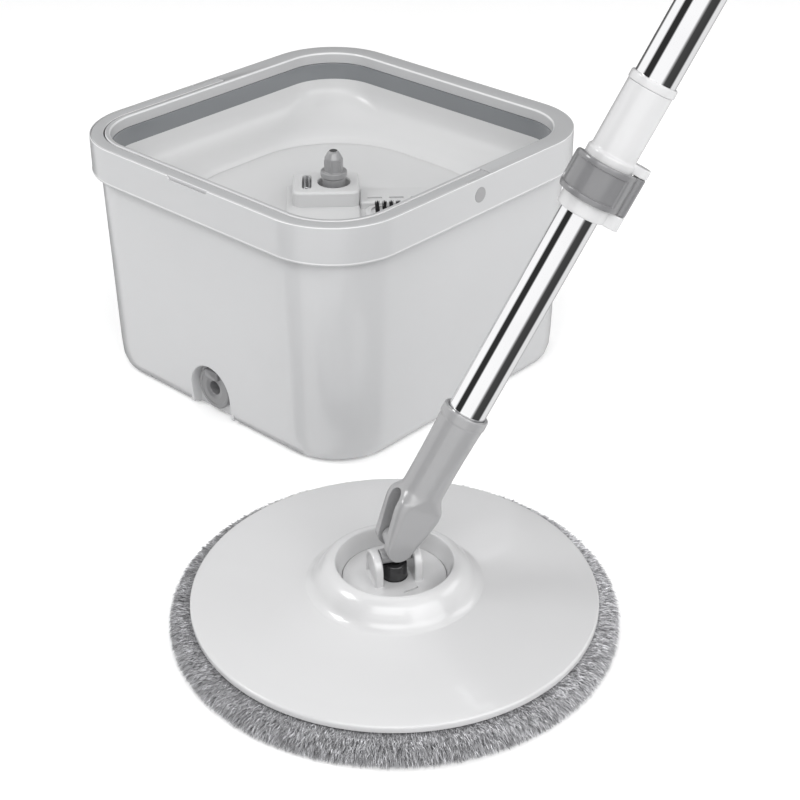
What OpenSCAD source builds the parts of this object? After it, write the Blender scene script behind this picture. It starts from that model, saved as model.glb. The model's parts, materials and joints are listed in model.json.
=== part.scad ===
/* [Bucket] */
// Outer side of the square rim
rim_w = 280; // [260:1:310]
// Height of the bucket over its rim
bucket_h = 185; // [170:1:210]
// Outer corner radius of the rim
rim_r = 56; // [48:1:62]
// Height of the rim's outer skirt
skirt_h = 27; // [24:1:30]
// Width of the rim's top face
rim_lip = 15; // [14:0.5:17]
// Width of the carrying handle's band in the rim
band_w = 10.5; // [9:0.5:11]
// Wall thickness of the bucket shell
wall = 2.5; // [2:0.1:3]
// Depth of the wash tub's floor below the rim
tub_depth = 57; // [52:1:62]

/* [Wash tub fittings] */
// Direction of the water arm, from +X toward +Y
arm_turn = 45; // [40:1:50]
// Width of the block that carries the spin post
block_w = 49; // [44:1:54]
// Depth of that block
block_d = 40; // [36:1:44]
// Height of that block over the tub's floor
block_h = 14; // [12:1:16]
// Number of slits in the channel cover
slits = 4; // [3:1:5]
// Number of bristle tufts in a row
tufts = 10; // [6:1:12]
// Radius of the drain plug's flange
plug_r = 16; // [14:0.5:17]

/* [Mop head] */
// Diameter of the white plate
plate_d = 246; // [220:2:250]
// Diameter of the microfibre pad
pad_d = 272; // [250:2:284]
// Thickness of the pad
pad_t = 14.6; // [10:0.2:16]
// Place of the mop head on the floor, along X
mop_x = 259; // [250:1:320]
// Place of the mop head on the floor, along Y
mop_y = -215; // [-280:1:-210]
// Direction in which the pole leans, from +X toward +Y
mop_turn = 60; // [45:1:75]
// Height of the cross pin in the ears
ear_axis_z = 46; // [45.5:0.5:47]
// Height of the fork pin
fork_axis_z = 57; // [56.5:0.5:58]

/* [Pole] */
// Lean of the pole from upright
pole_lean = 28.6; // [0:0.1:60]
// Outer diameter of the lower tube
lower_d = 23; // [22:0.2:23]
// Outer diameter of the upper tube
upper_d = 24.4; // [24.4:0.2:25]
// Distance from the fork pin to the clamp's lower end
clamp_at = 224; // [215:1:260]
// Distance from the fork pin to the top of the upper tube
pole_top = 902; // [880:1:1000]
// Turn of the clamp around the pole
clamp_turn = -31; // [-60:1:0]

/* [Hidden] */
$fn = 96;
opening_w = rim_w - 2 * rim_lip;
band_in_w = rim_w - 2 * band_w;
skirt_z = bucket_h - skirt_h;
band_z = bucket_h - 6;
flange_z = skirt_z + 2;
body_w = rim_w - 12;
base_w = rim_w - 18;
floor_z = bucket_h - tub_depth;
block_z = floor_z + block_h;
pivot_z = bucket_h - 12;
seam_y = 12.4;
swing_r = 17.2;
skin_t = 1;
cap_r = 5.6;
drain_z = 20.5;
drain_y = -(base_w / 2 + 0.4);
recess_y = drain_y + 9;
post_z = block_z + 9;
plate_r = plate_d / 2;
pad_r = pad_d / 2;
lower_r = lower_d / 2;
upper_r = upper_d / 2;
socket_top = 91.5;
ear_in = 9.7;
ear_t = 5.2;
lever_lo = clamp_at + 9;
lever_hi = clamp_at + 32;
sleeve_hi = clamp_at + 82;
hinge_p = 19;
nut_at = 680;

// Outline of a square of side s whose corners have radius r
function rounded(s, r, n = 14) = [
    for (q = [0:3]) for (i = [0:n])
        let (a = 90 * q + 90 * i / n, h = s / 2 - r)
        [(q == 0 || q == 3 ? h : -h) + r * cos(a), (q < 2 ? h : -h) + r * sin(a)]
];

module slab(s, r, z, h = 0.02) {
    translate([0, 0, z]) linear_extrude(h) polygon(rounded(s, r));
}

// Convex body through slices given as [side, corner radius, height]
module through(slices) {
    hull() for (s = slices) slab(s[0], s[1], s[2]);
}

module frame_ring(outer, inner, z, h) {
    difference() {
        slab(outer, rim_r - (rim_w - outer) / 2, z, h);
        slab(inner, rim_r - (rim_w - inner) / 2, z - 1, h + 2);
    }
}

// Plate standing across X, with a round top: width w, up to height h
module arch(w, h, t) {
    rotate([90, 0, 90]) linear_extrude(t) union() {
        translate([-w / 2, 0]) square([w, h - w / 2]);
        translate([0, h - w / 2]) circle(w / 2);
    }
}

module along_x(r, x0, x1) {
    translate([x0, 0, 0]) rotate([0, 90, 0]) cylinder(r = r, h = x1 - x0);
}

module along_y(r, y0, y1) {
    translate([0, y0, 0]) rotate([-90, 0, 0]) cylinder(r = r, h = y1 - y0);
}

module tube(r, inner, z0, z1) {
    translate([0, 0, z0]) difference() {
        cylinder(r = r, h = z1 - z0);
        translate([0, 0, -1]) cylinder(r = inner, h = z1 - z0 + 2);
    }
}

module on_arm() { rotate([0, 0, arm_turn]) children(); }
module on_mop() { translate([mop_x, mop_y, 0]) rotate([0, 0, mop_turn]) children(); }
module on_pole() { on_mop() translate([0, 0, fork_axis_z]) rotate([0, pole_lean, 0]) children(); }
module on_clamp() { on_pole() rotate([0, 0, clamp_turn]) children(); }
module both_sides() { children(); mirror([1, 0, 0]) children(); }

// Arch-shaped niche around the drain, open at the bottom, grown by g
module drain_niche(g, depth) {
    translate([0, drain_y - 12, 0]) rotate([-90, 0, 0]) linear_extrude(12 + depth) union() {
        translate([-20 - g, -19]) square([40 + 2 * g, 30]);
        translate([0, -19]) circle(20 + g);
    }
}

// Shell of the water tank: a rounded square bucket with the drain niche in front
module outer_bucket() {
    color("gainsboro") difference() {
        union() {
            difference() {
                through([[body_w, 50, flange_z], [base_w, 48, 9], [base_w - 4, 46, 3], [base_w - 12, 42, 0]]);
                through([[body_w - 2 * wall, 50 - wall, flange_z + 0.1], [base_w - 2 * wall, 48 - wall, 9],
                    [base_w - 12, 42, 3]]);
            }
            intersection() {
                drain_niche(wall, 9 + wall);
                translate([-40, -base_w / 2 + 1, 3]) cube([80, 40, 60]);
            }
        }
        drain_niche(0, 9);
        translate([0, 0, drain_z]) along_y(11, recess_y - 1, recess_y + 6);
        for (x = [-1, 1], y = [-1, 1])
            translate([x * 88, y * 88, -1]) cylinder(r = 12, h = 3);
    }
}

// Pockets for the handle's ends, which dip behind the skirt when it is raised
module handle_pocket() {
    translate([0, 0, pivot_z]) intersection() {
        along_x(swing_r + 0.2, rim_w / 2 - band_w - 0.4, rim_w / 2 - wall);
        translate([0, -60, -13]) cube([rim_w, 120, 60]);
    }
}

// Part of the outer skin, t thick, that stays with the rim: all within radius r of a pivot, and behind it
module pivot_skin(r, t) {
    both_sides() translate([rim_w / 2 - t, 0, 0]) {
        translate([0, 0, pivot_z]) along_x(r, 0, 2 * t);
        translate([0, 0, skirt_z]) cube([2 * t, 60, 60]);
    }
}

// Rebate behind a thin outer skin, in which the handle lies flush, with c of clearance
module band_rebate(c) {
    difference() {
        intersection() {
            translate([-rim_w, -rim_w, band_z - c]) cube([2 * rim_w, rim_w + seam_y, 20]);
            slab(rim_w - 2 * skin_t, rim_r - skin_t, band_z - 6, 30);
        }
        slab(band_in_w - 2 * c, rim_r - band_w - c, band_z - 5, 30);
        pivot_skin(swing_r - c, wall - c);
    }
}

// Collar that closes the rim, carries the handle and overhangs the shell
module rim_frame() {
    color("whitesmoke") difference() {
        union() {
            frame_ring(rim_w, rim_w - 2 * wall, skirt_z, skirt_h - 1);
            frame_ring(rim_w, opening_w, band_z - 3, 9);
            frame_ring(band_in_w - 1.6, opening_w + 5.2, flange_z + 2.4, 14);
        }
        band_rebate(0.3);
        both_sides() handle_pocket();
        translate([0, -rim_w / 2 - 1, bucket_h]) rotate([-90, 0, 0]) linear_extrude(2.2) hull() {
            translate([-18, 0]) circle(2.6);
            translate([18, 0]) circle(2.6);
        }
        translate([0, 0, pivot_z]) both_sides() along_x(cap_r, rim_w / 2 - wall - 1, rim_w / 2 + 1);
    }
}

// Grey band around the inside of the opening
module trim_ring() {
    color("slategray") difference() {
        slab(opening_w + 5, rim_r - rim_lip + 2.5, flange_z + 2.6, band_z - 3.2 - flange_z - 2.6);
        slab(opening_w + 0.6, rim_r - rim_lip + 0.3, flange_z, 30);
    }
}

// Tub with a flange that hangs on the shell's top edge, and a bowl-shaped wall
module wash_tub() {
    color("white") difference() {
        union() {
            slab(rim_w - 2 * wall - 1, rim_r - wall - 0.5, flange_z + 0.02, 2.38);
            through([[opening_w + 5, 43, flange_z + 1], [opening_w + 4.6, 46, floor_z + 24], [opening_w, 52, floor_z + 17],
                [opening_w - 10, 60, floor_z + 10], [opening_w - 30, 70, floor_z + 2.5], [opening_w - 52, 75, floor_z - 2.4]]);
        }
        through([[opening_w + 0.6, 41.3, flange_z + 3], [opening_w, 44, floor_z + 24], [opening_w - 4, 50, floor_z + 17.5],
            [opening_w - 14, 58, floor_z + 10.5], [opening_w - 34, 68, floor_z + 3.5], [opening_w - 54, 74, floor_z]]);
        translate([0, 0, floor_z - 10]) cylinder(r = 9.2, h = 20);
        both_sides() translate([rim_w / 2 - band_w - 0.6, 4, flange_z - 1]) cube([10, 11, 4]);
        on_arm() for (x = [-1, 1], y = [-1, 1])
            translate([x * 16 - 6, y * 15, floor_z - 6]) cylinder(r = 1.6, h = 12);
    }
}

module rounded_block(x0, x1, y0, y1, z0, z1, r) {
    translate([(x0 + x1) / 2, (y0 + y1) / 2, z0]) linear_extrude(z1 - z0) union() {
        square([x1 - x0 - 2 * r, y1 - y0], center = true);
        square([x1 - x0, y1 - y0 - 2 * r], center = true);
        for (x = [-1, 1], y = [-1, 1])
            translate([x * ((x1 - x0) / 2 - r), y * ((y1 - y0) / 2 - r)]) circle(r);
    }
}

// Block in the middle of the tub, on a low plinth, with the post's bearing tube
module post_housing() {
    color("whitesmoke") on_arm() difference() {
        union() {
            rounded_block(-6 - block_w / 2, -6 + block_w / 2, -block_d / 2, block_d / 2, floor_z, block_z, 6);
            rounded_block(-35, 18.5, -44, 24, floor_z, floor_z + 2.5, 5);
            translate([0, 0, floor_z - 20]) cylinder(r = 9, h = 22);
        }
        translate([0, 0, floor_z + 3]) cylinder(r = 11.75, h = 30);
        translate([0, 0, floor_z - 21]) cylinder(r = 6.5, h = 30);
        rounded_block(-23.5, -16.5, -12.5, 12.5, block_z - 5, block_z + 1, 3.4);
        translate([-20, 0, block_z - 2.2]) along_y(1.05, -14.2, 14.2);
        for (x = [-1, 1], y = [-1, 1])
            translate([x * 16 - 6, y * 15, floor_z - 1]) cylinder(r = 1.2, h = 9);
    }
}

// Low cover over the water channel, with a row of slits
module channel_cover() {
    color("gainsboro") on_arm() difference() {
        rounded_block(18.7, 88, -19, 7, floor_z, floor_z + 5.5, 3);
        for (i = [0:slits - 1])
            translate([24 + 16 * i, -12, floor_z + 3.5]) cube([11, 2, 4]);
    }
}

module brush_frame() {
    color("whitesmoke") on_arm() difference() {
        rounded_block(22, 86, -42, -21, floor_z, floor_z + 4.5, 9);
        for (y = [-36.5, -26.5], i = [0:tufts - 1])
            translate([31 + 46 * i / (tufts - 1), y, floor_z + 1.5]) cylinder(r = 1.75, h = 4);
    }
}

module brush_bristles() {
    color("black") on_arm() for (y = [-36.5, -26.5], i = [0:tufts - 1])
        translate([31 + 46 * i / (tufts - 1), y, floor_z + 1.5]) cylinder(r = 1.7, h = 11.5, $fn = 24);
}

module post_bush() {
    color("ivory") tube(6.5, 3.05, floor_z - 20, floor_z + 3);
}

// Four screws that hold the housing from under the tub
module housing_screws() {
    color("silver") on_arm() for (x = [-1, 1], y = [-1, 1])
        translate([x * 16 - 6, y * 15, floor_z - 4.6]) {
            cylinder(r = 3, h = 2.1);
            cylinder(r = 1.2, h = 12);
        }
}

// Headed pivots of the carrying handle, seen as round caps on the skirt
module handle_pins() {
    color("darkgray") translate([0, 0, pivot_z]) both_sides() {
        along_x(cap_r, rim_w / 2 - wall, rim_w / 2 + 0.3);
        along_x(2.5, rim_w / 2 - band_w, rim_w / 2 - wall + 0.1);
    }
}

module anti_slip_feet() {
    color("dimgray") for (x = [-1, 1], y = [-1, 1])
        translate([x * 88, y * 88, 0]) cylinder(r = 12, h = 2);
}

// U-shaped carrying handle that forms half of the rim's top
module bail_handle() {
    color("whitesmoke") difference() {
        union() {
            difference() {
                frame_ring(rim_w - 2 * skin_t - 0.6, band_in_w, band_z, 6);
                translate([-rim_w, seam_y - 0.3, 0]) cube([2 * rim_w, rim_w, 300]);
                pivot_skin(swing_r, wall + 0.3);
            }
            translate([0, 0, pivot_z]) both_sides() {
                along_x(6.5, rim_w / 2 - 9, rim_w / 2 - 3);
                translate([rim_w / 2 - 9, -6.5, 0]) cube([6, 13, 7]);
            }
        }
        translate([0, 0, pivot_z]) along_x(2.55, -rim_w, rim_w);
    }
}

// Plug with a flange, a thumb tab and a finger dimple
module drain_plug() {
    color("gray") translate([0, 0, drain_z]) difference() {
        union() {
            along_y(plug_r, recess_y - 5.2, recess_y - 0.2);
            along_y(10.8, recess_y - 0.3, recess_y + 8);
            translate([-6.5, recess_y - 7.7, 8]) cube([13, 6, plug_r - 8.5]);
        }
        along_y(4.5, recess_y - 6, recess_y - 1.5);
        difference() {
            along_y(12, recess_y + 3, recess_y + 5);
            along_y(9.4, recess_y + 2, recess_y + 6);
        }
        along_y(7.5, recess_y + 1, recess_y + 9);
    }
}

module drain_seal() {
    color("black") translate([0, recess_y + 4, drain_z]) rotate([90, 0, 0])
        rotate_extrude() translate([10.15, 0]) circle(0.75, $fn = 24);
}

// Post that drives the mop head: collar, flange, splined body and cone
module spin_post() {
    color("gray") difference() {
        union() {
            translate([0, 0, floor_z + 3.4]) cylinder(r = 8.6, h = post_z - floor_z - 6);
            translate([0, 0, post_z - 4]) cylinder(r = 9.8, h = 4);
            translate([0, 0, post_z - 1]) cylinder(r = 6.6, h = 11);
            translate([0, 0, post_z + 10]) cylinder(r1 = 6.6, r2 = 3.6, h = 5);
            for (i = [0:5]) rotate([0, 0, 60 * i]) translate([6.1, 0, post_z - 1]) cylinder(r = 1.1, h = 10, $fn = 24);
        }
        translate([0, 0, floor_z]) cylinder(r = 3, h = 60);
    }
}

module post_shaft() {
    color("silver") translate([0, 0, floor_z - 23]) cylinder(r = 3, h = post_z + 15.4 - floor_z + 23);
}

module shaft_clip() {
    color("dimgray") tube(6, 3, floor_z - 21.4, floor_z - 20.2);
}

// Steel roller that lies in the block's slot
module press_roller() {
    color("silver") on_arm() translate([-20, 0, block_z - 2.2]) {
        along_y(2.6, -11, 11);
        along_y(1, -14, 14);
    }
}

// White turntable with the two ears of the joint
module swivel_disc() {
    color("white") on_mop() difference() {
        union() {
            translate([0, 0, 26.3]) cylinder(r = 31.4, h = 4.7);
            tube(15, 12.6, 19.6, 26.5);
            both_sides() translate([ear_in, 0, 30.5]) difference() {
                arch(21, 20, ear_t);
                translate([ear_t - 1.5, 0, 2]) arch(15, 14.5, 3);
            }
        }
        translate([0, 0, 20]) cylinder(r = 7.6, h = 20);
        translate([0, 0, ear_axis_z]) along_x(2, -30, 30);
        rotate([0, 0, -58]) translate([21, 0, 29.6]) rotate([0, 0, -19])
            rotate_extrude(angle = 38) translate([1, 0]) square([2, 3]);
    }
}

module ear_pin() {
    color("silver") on_mop() translate([0, 0, ear_axis_z]) along_x(2, -ear_in - 3.6, ear_in + 3.6);
}

module retainer_ring() {
    color("dimgray") on_mop() tube(21, 15, 19.8, 22.2);
}

// Plate of the mop head, with the raised collar around the turntable
module mop_plate() {
    color("white") on_mop() difference() {
        union() {
            plate_shell();
            for (i = [0:5]) rotate([0, 0, 60 * i + 30]) translate([70, 0, 16.85]) cylinder(r = 4, h = 5);
        }
        for (i = [0:5]) rotate([0, 0, 60 * i + 30]) translate([70, 0, 16]) cylinder(r = 1.6, h = 4.4);
    }
}

module plate_shell() {
    rotate_extrude($fn = 180) polygon([
        [15.3, 22.6], [40, 22.6], [plate_r - 24, 18.6], [plate_r - 3, 16.9], [plate_r - 2.6, 14.9],
        [plate_r - 0.4, 14.9], [plate_r, 15.6], [plate_r, 17.4], [plate_r - 0.8, 18.6], [plate_r - 2.4, 19.3],
        [plate_r - 23, 21.9], [72, 24.6], [57, 26.6], [52, 28], [48.5, 30], [45.5, 33], [43, 36.6],
        [40.5, 40], [38.4, 41.5], [36.6, 41.8], [35.2, 41.2], [34.3, 39.6], [33.2, 34], [31.7, 30],
        [31.7, 25.9], [15.3, 25.9]
    ]);
}

// Flat underside that closes the plate
module under_cover() {
    color("whitesmoke") on_mop() difference() {
        tube(plate_r - 4.2, 22.4, 15, 16.8);
        for (i = [0:5]) rotate([0, 0, 60 * i + 30]) translate([70, 0, 14]) cylinder(r = 1.7, h = 4);
    }
}

module cover_screws() {
    color("silver") on_mop() for (i = [0:5]) rotate([0, 0, 60 * i + 30]) translate([70, 0, 15.2])
        cylinder(r = 1.6, h = 5);
}

// Black hub that turns with the plate and takes the post from below
module spin_hub() {
    color("black") on_mop() difference() {
        union() {
            translate([0, 0, 15]) cylinder(r = 12.3, h = 11);
            translate([0, 0, 15]) cylinder(r = 7.5, h = 26);
            translate([0, 0, 16.85]) cylinder(r = 27, h = 2.2);
        }
        translate([0, 0, 14]) cylinder(r = 7.8, h = 11.2);
        translate([0, 0, 25]) cylinder(r1 = 6.8, r2 = 3.8, h = 7);
    }
}

module hook_rings() {
    color("dimgray") on_mop() {
        tube(112, 88, 14.7, 14.98);
        tube(56, 34, 14.7, 14.98);
    }
}

// Microfibre pad: a thick disc with a hole for the post
module mop_pad() {
    color("darkgray") on_mop() rotate_extrude() polygon([
        [26, 0], [pad_r - 6, 0], [pad_r - 2, 2], [pad_r, 6], [pad_r - 0.5, 10], [pad_r - 3, 13.2],
        [pad_r - 7, pad_t], [26, pad_t]
    ]);
}

// Cross piece of the joint: a lower barrel on the ear pin, an upper eye on the fork pin
module knuckle() {
    color("gray") on_mop() difference() {
        union() {
            translate([0, 0, ear_axis_z]) along_x(4.6, -ear_in + 0.3, ear_in - 0.3);
            translate([-5, -4.4, ear_axis_z]) cube([10, 8.8, fork_axis_z - ear_axis_z]);
            translate([0, 0, fork_axis_z]) along_y(6.2, -5.6, 5.6);
        }
        translate([0, 0, ear_axis_z]) along_x(2.05, -20, 20);
        translate([0, 0, fork_axis_z]) along_y(2.05, -20, 20);
    }
}

// Grey socket of the pole, whose lower end is a fork around the knuckle
module fork_socket() {
    color("gray") on_pole() difference() {
        union() {
            hull() {
                along_y(8.25, -13.2, 13.2);
                rounded_block(-14.4, 14.4, -13.8, 13.8, 23, 27, 5);
            }
            hull() {
                rounded_block(-14.4, 14.4, -13.8, 13.8, 26, 28, 5);
                translate([0, 0, 35]) cylinder(r = 13, h = 1);
            }
            rotate_extrude() polygon([
                [0, 34], [13, 34], [12.8, 48], [12.8, 60], [13.2, 76], [13.6, socket_top - 6.5],
                [14, socket_top - 6], [14, socket_top - 0.6], [13.4, socket_top], [0, socket_top]
            ]);
        }
        hull() {
            translate([0, 0, 26]) rotate([0, 90, 0]) cylinder(r = 6, h = 60, center = true);
            translate([0, 0, -12]) rotate([0, 90, 0]) cylinder(r = 6, h = 60, center = true);
        }
        along_y(2, -20, 20);
        translate([0, 0, 48]) cylinder(r = lower_r, h = 60);
        translate([0, 0, 42]) cylinder(r = 8, h = 10);
        translate([0, 0, 74]) along_y(2, 5, 20);
    }
}

module fork_pin() {
    color("silver") on_pole() along_y(2, -12.8, 12.8);
}

module lower_tube() {
    color("silver") on_pole() difference() {
        tube(lower_r, lower_r - 0.8, 48, 704);
        translate([0, 0, 74]) along_y(2, 5, 20);
    }
}

module tube_rivet() {
    color("dimgray") on_pole() translate([0, 0, 74]) along_y(2, 9.6, 13.6);
}

// Cup at the top of the lower tube, in which the drive nut turns
module nut_housing() {
    color("ivory") on_pole() difference() {
        tube(lower_r - 0.8, 5, nut_at - 4, nut_at + 24);
        translate([0, 0, nut_at]) cylinder(r = 8.3, h = 20);
    }
}

module drive_nut() {
    color("gold") on_pole() tube(8.2, 4.2, nut_at + 0.2, nut_at + 19.8);
}

module upper_tube() {
    color("silver") on_pole() tube(upper_r, upper_r - 0.6, clamp_at + 38, pole_top);
}

// White sleeve on the upper tube, with the collar that grips the lower tube
module clamp_sleeve() {
    color("white") on_clamp() difference() {
        union() {
            translate([0, 0, clamp_at]) cylinder(r = 14.7, h = 36);
            translate([0, 0, clamp_at + 35]) cylinder(r = 13.35, h = 42);
            translate([hinge_p, 0, clamp_at]) cylinder(r = 3.8, h = 8.6);
            translate([10, -3.8, clamp_at]) cube([hinge_p - 10, 7.6, 8.6]);
            translate([hinge_p, 0, lever_hi + 0.4]) cylinder(r = 3.8, h = 5.6);
            translate([10, -3.8, lever_hi + 0.4]) cube([hinge_p - 10, 7.6, 5.6]);
        }
        translate([0, 0, clamp_at - 1]) cylinder(r = lower_r + 0.1, h = 50);
        translate([0, 0, clamp_at + 38]) cylinder(r = upper_r, h = 60);
        translate([hinge_p, 0, clamp_at + 2]) cylinder(r = 1.5, h = 60);
        translate([-20, -3, lever_lo + 3]) cube([10, 6, 16]);
    }
}

module sleeve_ring() {
    color("whitesmoke") on_clamp() tube(13.9, upper_r, sleeve_hi - 5, sleeve_hi);
}

// Small pad that the lever presses on the lower tube
module brake_shoe() {
    color("dimgray") on_clamp() translate([0, 0, lever_lo + 3.2]) intersection() {
        tube(14.6, lower_r + 0.1, 0, 15.6);
        translate([-20, -2.9, -1]) cube([10, 5.8, 20]);
    }
}

module lever_pin() {
    color("silver") on_clamp() translate([hinge_p, 0, clamp_at + 2]) cylinder(r = 1.5, h = lever_hi - clamp_at + 3);
}

// Flip lever that wraps the collar's front half
module clamp_lever() {
    color("gray") on_clamp() difference() {
        union() {
            intersection() {
                tube(18.6, 15.2, lever_lo, lever_hi);
                rotate([0, 0, 172]) translate([0, 0, lever_lo - 1]) linear_extrude(30)
                    polygon([[0, 0], [30, 0], [30, 30], [-30, 30], [-30, -2.6], [0, -2.6]]);
            }
            translate([hinge_p, 0, lever_lo]) cylinder(r = 3.7, h = lever_hi - lever_lo);
        }
        translate([hinge_p, 0, lever_lo - 1]) cylinder(r = 1.55, h = 40);
        translate([0, 0, lever_lo - 1]) cylinder(r = 15.1, h = 40);
    }
}

module drive_rod() {
    color("darkgray") on_pole() translate([0, 0, 380]) cylinder(r = 4, h = 462);
}

module rod_plug() {
    color("ivory") on_pole() difference() {
        translate([0, 0, 836]) cylinder(r = upper_r - 0.6, h = 14);
        translate([0, 0, 835]) cylinder(r = 4, h = 7);
    }
}

module hand_grip() {
    color("gray") on_pole() difference() {
        union() {
            tube(14.6, upper_r, pole_top - 102, pole_top);
            for (i = [0:4]) tube(15.3, 14, pole_top - 92 + 20 * i, pole_top - 86 + 20 * i);
        }
        translate([0, 0, pole_top - 110]) cylinder(r = upper_r, h = 120);
    }
}

// End plug with a loop to hang the mop by
module end_cap() {
    color("gray") on_pole() difference() {
        union() {
            translate([0, 0, pole_top - 22]) cylinder(r = upper_r - 0.6, h = 24);
            translate([0, 0, pole_top]) cylinder(r = 14.6, h = 6);
            translate([-11, -4, pole_top + 5]) cube([22, 8, 18]);
            translate([0, 0, pole_top + 23]) along_y(11, -4, 4);
        }
        translate([0, 0, pole_top + 22]) along_y(5.5, -10, 10);
    }
}

outer_bucket();
rim_frame();
trim_ring();
wash_tub();
post_housing();
channel_cover();
brush_frame();
brush_bristles();
post_bush();
housing_screws();
handle_pins();
anti_slip_feet();
bail_handle();
drain_plug();
drain_seal();
spin_post();
post_shaft();
shaft_clip();
press_roller();
swivel_disc();
ear_pin();
retainer_ring();
mop_plate();
under_cover();
cover_screws();
spin_hub();
hook_rings();
mop_pad();
knuckle();
fork_socket();
fork_pin();
lower_tube();
tube_rivet();
nut_housing();
drive_nut();
upper_tube();
clamp_sleeve();
sleeve_ring();
brake_shoe();
lever_pin();
clamp_lever();
drive_rod();
rod_plug();
hand_grip();
end_cap();
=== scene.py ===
"""Looks of the spin mop: a square wash bucket, and a round flat mop on a telescopic pole."""

import json
import math
import random

import bmesh
import bpy
from mathutils import Matrix, Vector


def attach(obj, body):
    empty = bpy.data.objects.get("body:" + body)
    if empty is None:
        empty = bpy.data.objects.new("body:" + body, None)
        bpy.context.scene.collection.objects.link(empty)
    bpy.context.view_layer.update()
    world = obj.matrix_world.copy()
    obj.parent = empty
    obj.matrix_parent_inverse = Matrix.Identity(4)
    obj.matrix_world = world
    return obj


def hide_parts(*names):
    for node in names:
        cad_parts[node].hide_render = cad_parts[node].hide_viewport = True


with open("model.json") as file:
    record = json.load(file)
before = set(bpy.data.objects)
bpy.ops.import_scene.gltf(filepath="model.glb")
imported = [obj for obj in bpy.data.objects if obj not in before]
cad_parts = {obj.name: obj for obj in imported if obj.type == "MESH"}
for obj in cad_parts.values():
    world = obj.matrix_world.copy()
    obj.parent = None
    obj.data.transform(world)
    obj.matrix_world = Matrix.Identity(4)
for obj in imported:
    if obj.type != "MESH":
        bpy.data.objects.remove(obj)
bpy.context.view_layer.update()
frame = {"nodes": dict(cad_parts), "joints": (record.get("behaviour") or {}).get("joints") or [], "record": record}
MM = 0.001

# --------------------------------------------------------------------------------------
# Sizes in millimetres, the same as the CAD model's. A name that ends in _T is a place along the pole.
# --------------------------------------------------------------------------------------
RIM = 280
RIM_CORNER = 56
TOP = 185
SKIRT_Z = 158
LIP = 15
MOUTH = 250
# the carrying handle: its band, the skin in front of it, its pivots and its seam across the rim
BAND_Z = 179
BAND = 10.3
SKIN = 1
CAP_R = 5.6
SEAM_Y = 12.4
PIVOT_Z = 173
SWING_R = 17.2
# the tub's floor, the block on it, and the way that the channel and the brush run
FLOOR_Z = 128
BLOCK_Z = 142
ARM_TURN = 45
ROLLER_X = -20
# the drain and its niche
DRAIN_Z = 20.5
RECESS_Y = -122.4
NICHE_R = 20
NICHE_Z = 19
FOOT_AT = 88
# the mop head
PLATE_R = 123
PAD_R = 136
PAD_HOLE = 26
PAD_T = 14.6
MARK_R = 18.5
# the pole
TUBE_R = 11.5
SLEEVE_TUBE_R = 12.2
COLLAR_R = 14.7
CLAMP_T = 224
CLAMP_TURN = -31
LEVER_T = (233, 256)
HINGE_X = 19
GRIP_T = (800, 902)
GRIP_R = 14.6

# Steps of a full circle and of a square's corner, and the angle from which an edge is shown sharp
CIRCLE = 128
CORNER_STEPS = 28
SHARP = 35

# --------------------------------------------------------------------------------------
# Frames of the parts that stand at an angle, read from the CAD model's joints
# --------------------------------------------------------------------------------------
joints = {j["name"]: j for j in frame["joints"]}


def axes_at(origin, x, y, z):
    facing = Matrix((x, y, z)).transposed().to_4x4()
    return Matrix.Translation(origin) @ facing


up = Vector((0, 0, 1))
lean = Vector(joints["yoke_pitch"]["axis"])
across = Vector(joints["pole_tilt"]["axis"])
along = Vector(joints["pole_slide"]["axis"])
fork_at = Vector(joints["pole_tilt"]["pos_m"])
mop = axes_at((fork_at.x, fork_at.y, 0), lean, across, up)
pole = axes_at(fork_at, across.cross(along), across, along)
clamp = pole @ Matrix.Rotation(math.radians(CLAMP_TURN), 4, "Z")
hinge = clamp @ Matrix.Translation((HINGE_X * MM, 0, 0))
arm = Matrix.Rotation(math.radians(ARM_TURN), 4, "Z")
level = Matrix.Identity(4)


# --------------------------------------------------------------------------------------
# Outlines
# --------------------------------------------------------------------------------------
def rounded(corners, steps=6, closed=True):
    """Outline through (a, b, radius) corners, each rounded off by an arc of its radius."""
    out = []
    last = len(corners) - 1
    for i, (a, b, radius) in enumerate(corners):
        corner = Vector((a, b))
        if radius == 0 or (not closed and i in (0, last)):
            out.append(corner)
            continue
        before = (Vector(corners[i - 1][:2]) - corner).normalized()
        after = (Vector(corners[(i + 1) % len(corners)][:2]) - corner).normalized()
        half = before.angle(after) / 2
        centre = corner + (before + after).normalized() * radius / math.sin(half)
        start = corner + before * radius / math.tan(half) - centre
        turn = math.pi - 2 * half
        sign = 1 if before.cross(after) < 0 else -1
        for k in range(steps + 1):
            angle = sign * turn * k / steps
            out.append(centre + Matrix.Rotation(angle, 2) @ start)
    return out


def flowing(points, steps=6):
    """Smooth open curve through the points, which may have any number of coordinates."""
    rows = [Vector(p) for p in points]
    ends = [2 * rows[0] - rows[1], *rows, 2 * rows[-1] - rows[-2]]
    out = []
    for a, b, c, d in zip(ends, ends[1:], ends[2:], ends[3:]):
        for k in range(steps):
            t = k / steps
            out.append(0.5 * (2 * b + (c - a) * t + (2 * a - 5 * b + 4 * c - d) * t ** 2
                              + (3 * b - a - 3 * c + d) * t ** 3))
    out.append(rows[-1])
    return out


def circle(radius, z, steps=CIRCLE):
    turns = [2 * math.pi * k / steps for k in range(steps)]
    return [(radius * math.cos(a), radius * math.sin(a), z) for a in turns]


def rectangle(x0, x1, y0, y1, corner, z, steps=6):
    """Level ring in the form of a rectangle with round corners."""
    out = []
    for quarter in range(4):
        cx = x1 - corner if quarter in (0, 3) else x0 + corner
        cy = y1 - corner if quarter in (0, 1) else y0 + corner
        for k in range(steps + 1):
            a = math.pi / 2 * (quarter + k / steps)
            out.append((cx + corner * math.cos(a), cy + corner * math.sin(a), z))
    return out


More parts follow.
